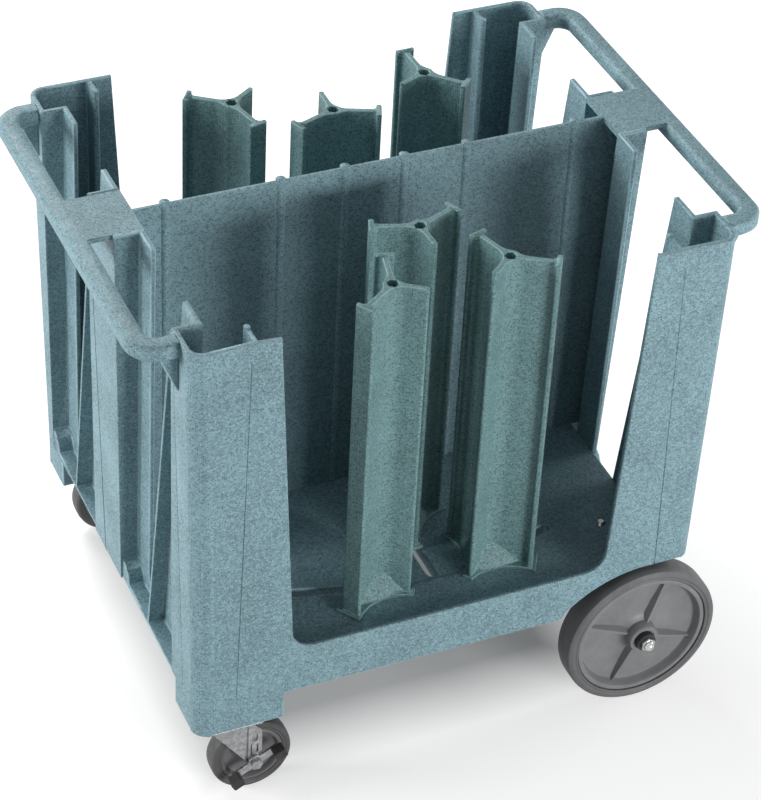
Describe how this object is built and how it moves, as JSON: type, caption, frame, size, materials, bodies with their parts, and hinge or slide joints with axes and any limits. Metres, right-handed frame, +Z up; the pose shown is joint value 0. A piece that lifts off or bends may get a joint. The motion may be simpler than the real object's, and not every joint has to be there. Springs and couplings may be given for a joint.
{
  "type": "plate dispenser cart",
  "caption": "Rolling plate caddy: open moulded body with a lengthwise divider, end push handles, sliding towers in deck slots, large fixed wheels, swivel casters and a foot brake.",
  "frame": {"origin": "on the floor under the middle of the cart's bounding box", "axes": "+X along the cart towards the large wheels, +Y across it towards the side without the brake, +Z up"},
  "size_m": [0.958, 0.7728, 0.853],
  "materials": {
    "moulded_body": "speckled satin",
    "moulded_tower": "speckled satin",
    "zinc_fittings": "zinc plated",
    "bright_fittings": "polished",
    "black_plastic": "matte",
    "wheel_disc": "moulded grey",
    "grey_tyre": "soft grey",
    "caster_disc": "moulded dark grey",
    "caster_tread": "soft dark grey",
    "pad_rubber": "matte"
  },
  "bodies": {
    "cart": {"body_corner_front_left": "moulded_body", "body_corner_front_right": "moulded_body", "body_corner_rear_left": "moulded_body", "body_corner_rear_right": "moulded_body", "body_end_left": "moulded_body", "body_end_right": "moulded_body", "body_side_front": "moulded_body", "body_side_rear": "moulded_body", "body_floor": "moulded_body", "body_divider": "moulded_body", "body_handle_left": "moulded_body", "body_handle_right": "moulded_body", "body_foot_front": "moulded_body", "body_foot_rear": "moulded_body", "axle": "zinc_fittings", "axle_bracket_front": "zinc_fittings", "axle_bracket_rear": "zinc_fittings", "bracket_bolts_front": "zinc_fittings", "bracket_bolts_rear": "zinc_fittings", "caster_plate_front": "zinc_fittings", "caster_plate_rear": "zinc_fittings", "wheel_washer_front": "bright_fittings", "wheel_washer_rear": "bright_fittings", "cap_nut_front": "bright_fittings", "cap_nut_rear": "bright_fittings", "axle_sleeve_front": "black_plastic", "axle_sleeve_rear": "black_plastic"},
    "wheel_front": {"wheel_hub_front": "wheel_disc", "wheel_tyre_front": "grey_tyre"},
    "caster_swivel_front": {"caster_fork_front": "zinc_fittings", "caster_bolt_front": "zinc_fittings", "brake_strap": "zinc_fittings"},
    "caster_wheel_front": {"caster_core_front": "caster_disc", "caster_tyre_front": "caster_tread"},
    "wheel_rear": {"wheel_hub_rear": "wheel_disc", "wheel_tyre_rear": "grey_tyre"},
    "caster_swivel_rear": {"caster_fork_rear": "zinc_fittings", "caster_bolt_rear": "zinc_fittings"},
    "caster_wheel_rear": {"caster_core_rear": "caster_disc", "caster_tyre_rear": "caster_tread"},
    "brake": {"brake_pedal": "zinc_fittings", "brake_pad_low": "pad_rubber", "brake_pad_high": "pad_rubber"},
    "clamp_front_left": {"tower_clamp_front_left": "zinc_fittings"},
    "tower_front_left": {"tower_front_left": "moulded_tower"},
    "clamp_front_middle": {"tower_clamp_front_middle": "zinc_fittings"},
    "tower_front_middle": {"tower_front_middle": "moulded_tower"},
    "clamp_front_right": {"tower_clamp_front_right": "zinc_fittings"},
    "tower_front_right": {"tower_front_right": "moulded_tower"},
    "clamp_rear_left": {"tower_clamp_rear_left": "zinc_fittings"},
    "tower_rear_left": {"tower_rear_left": "moulded_tower"},
    "clamp_rear_middle": {"tower_clamp_rear_middle": "zinc_fittings"},
    "tower_rear_middle": {"tower_rear_middle": "moulded_tower"},
    "clamp_rear_right": {"tower_clamp_rear_right": "zinc_fittings"},
    "tower_rear_right": {"tower_rear_right": "moulded_tower"}
  },
  "joints": [
    {"name": "wheel_front_spin", "type": "hinge", "parent": "cart", "child": "wheel_front", "pos_m": [0.328, -0.344, 0.127], "axis": [0, 1, 0], "continuous": true},
    {"name": "caster_front_swivel", "type": "hinge", "parent": "cart", "child": "caster_swivel_front", "pos_m": [-0.34, -0.318, 0.14], "axis": [0, 0, 1], "continuous": true},
    {"name": "caster_front_spin", "type": "hinge", "parent": "caster_swivel_front", "child": "caster_wheel_front", "pos_m": [-0.306, -0.318, 0.0635], "axis": [0, 1, 0], "continuous": true},
    {"name": "wheel_rear_spin", "type": "hinge", "parent": "cart", "child": "wheel_rear", "pos_m": [0.328, 0.344, 0.127], "axis": [0, 1, 0], "continuous": true},
    {"name": "caster_rear_swivel", "type": "hinge", "parent": "cart", "child": "caster_swivel_rear", "pos_m": [-0.34, 0.318, 0.14], "axis": [0, 0, 1], "continuous": true},
    {"name": "caster_rear_spin", "type": "hinge", "parent": "caster_swivel_rear", "child": "caster_wheel_rear", "pos_m": [-0.306, 0.318, 0.0635], "axis": [0, 1, 0], "continuous": true},
    {"name": "brake_rock", "type": "hinge", "parent": "caster_swivel_front", "child": "brake", "pos_m": [-0.306, -0.347, 0.0635], "axis": [0, 1, 0], "range_deg": [0, 28]},
    {"name": "tower_front_left_slide", "type": "slide", "parent": "cart", "child": "clamp_front_left", "axis": [-0.9636, 0.2672, 0], "range_m": [-0.006, 0.124]},
    {"name": "tower_front_left_turn", "type": "hinge", "parent": "clamp_front_left", "child": "tower_front_left", "pos_m": [-0.08218, -0.26003, 0.268], "axis": [0, 0, 1], "range_deg": [-8, 8]},
    {"name": "tower_front_middle_slide", "type": "slide", "parent": "cart", "child": "clamp_front_middle", "axis": [0, -1, 0], "range_m": [-0.044, 0]},
    {"name": "tower_front_middle_turn", "type": "hinge", "parent": "clamp_front_middle", "child": "tower_front_middle", "pos_m": [0.01, -0.144, 0.268], "axis": [0, 0, 1], "range_deg": [-8, 8]},
    {"name": "tower_front_right_slide", "type": "slide", "parent": "cart", "child": "clamp_front_right", "axis": [0.9636, 0.2672, 0], "range_m": [-0.002, 0.108]},
    {"name": "tower_front_right_turn", "type": "hinge", "parent": "clamp_front_right", "child": "tower_front_right", "pos_m": [0.09953, -0.25522, 0.268], "axis": [0, 0, 1], "range_deg": [-8, 8]},
    {"name": "tower_rear_left_slide", "type": "slide", "parent": "cart", "child": "clamp_rear_left", "axis": [-0.9636, -0.2672, 0], "range_m": [0, 0.08]},
    {"name": "tower_rear_left_turn", "type": "hinge", "parent": "clamp_rear_left", "child": "tower_rear_left", "pos_m": [-0.12651, 0.24774, 0.268], "axis": [0, 0, 1], "range_deg": [-8, 8]},
    {"name": "tower_rear_middle_slide", "type": "slide", "parent": "cart", "child": "clamp_rear_middle", "axis": [0, 1, 0], "range_m": [-0.07, 0]},
    {"name": "tower_rear_middle_turn", "type": "hinge", "parent": "clamp_rear_middle", "child": "tower_rear_middle", "pos_m": [0.01, 0.18, 0.268], "axis": [0, 0, 1], "range_deg": [-8, 8]},
    {"name": "tower_rear_right_slide", "type": "slide", "parent": "cart", "child": "clamp_rear_right", "axis": [0.9636, -0.2672, 0], "range_m": [-0.05, 0.022]},
    {"name": "tower_rear_right_turn", "type": "hinge", "parent": "clamp_rear_right", "child": "tower_rear_right", "pos_m": [0.1824, 0.23224, 0.268], "axis": [0, 0, 1], "range_deg": [-8, 8]}
  ]
}
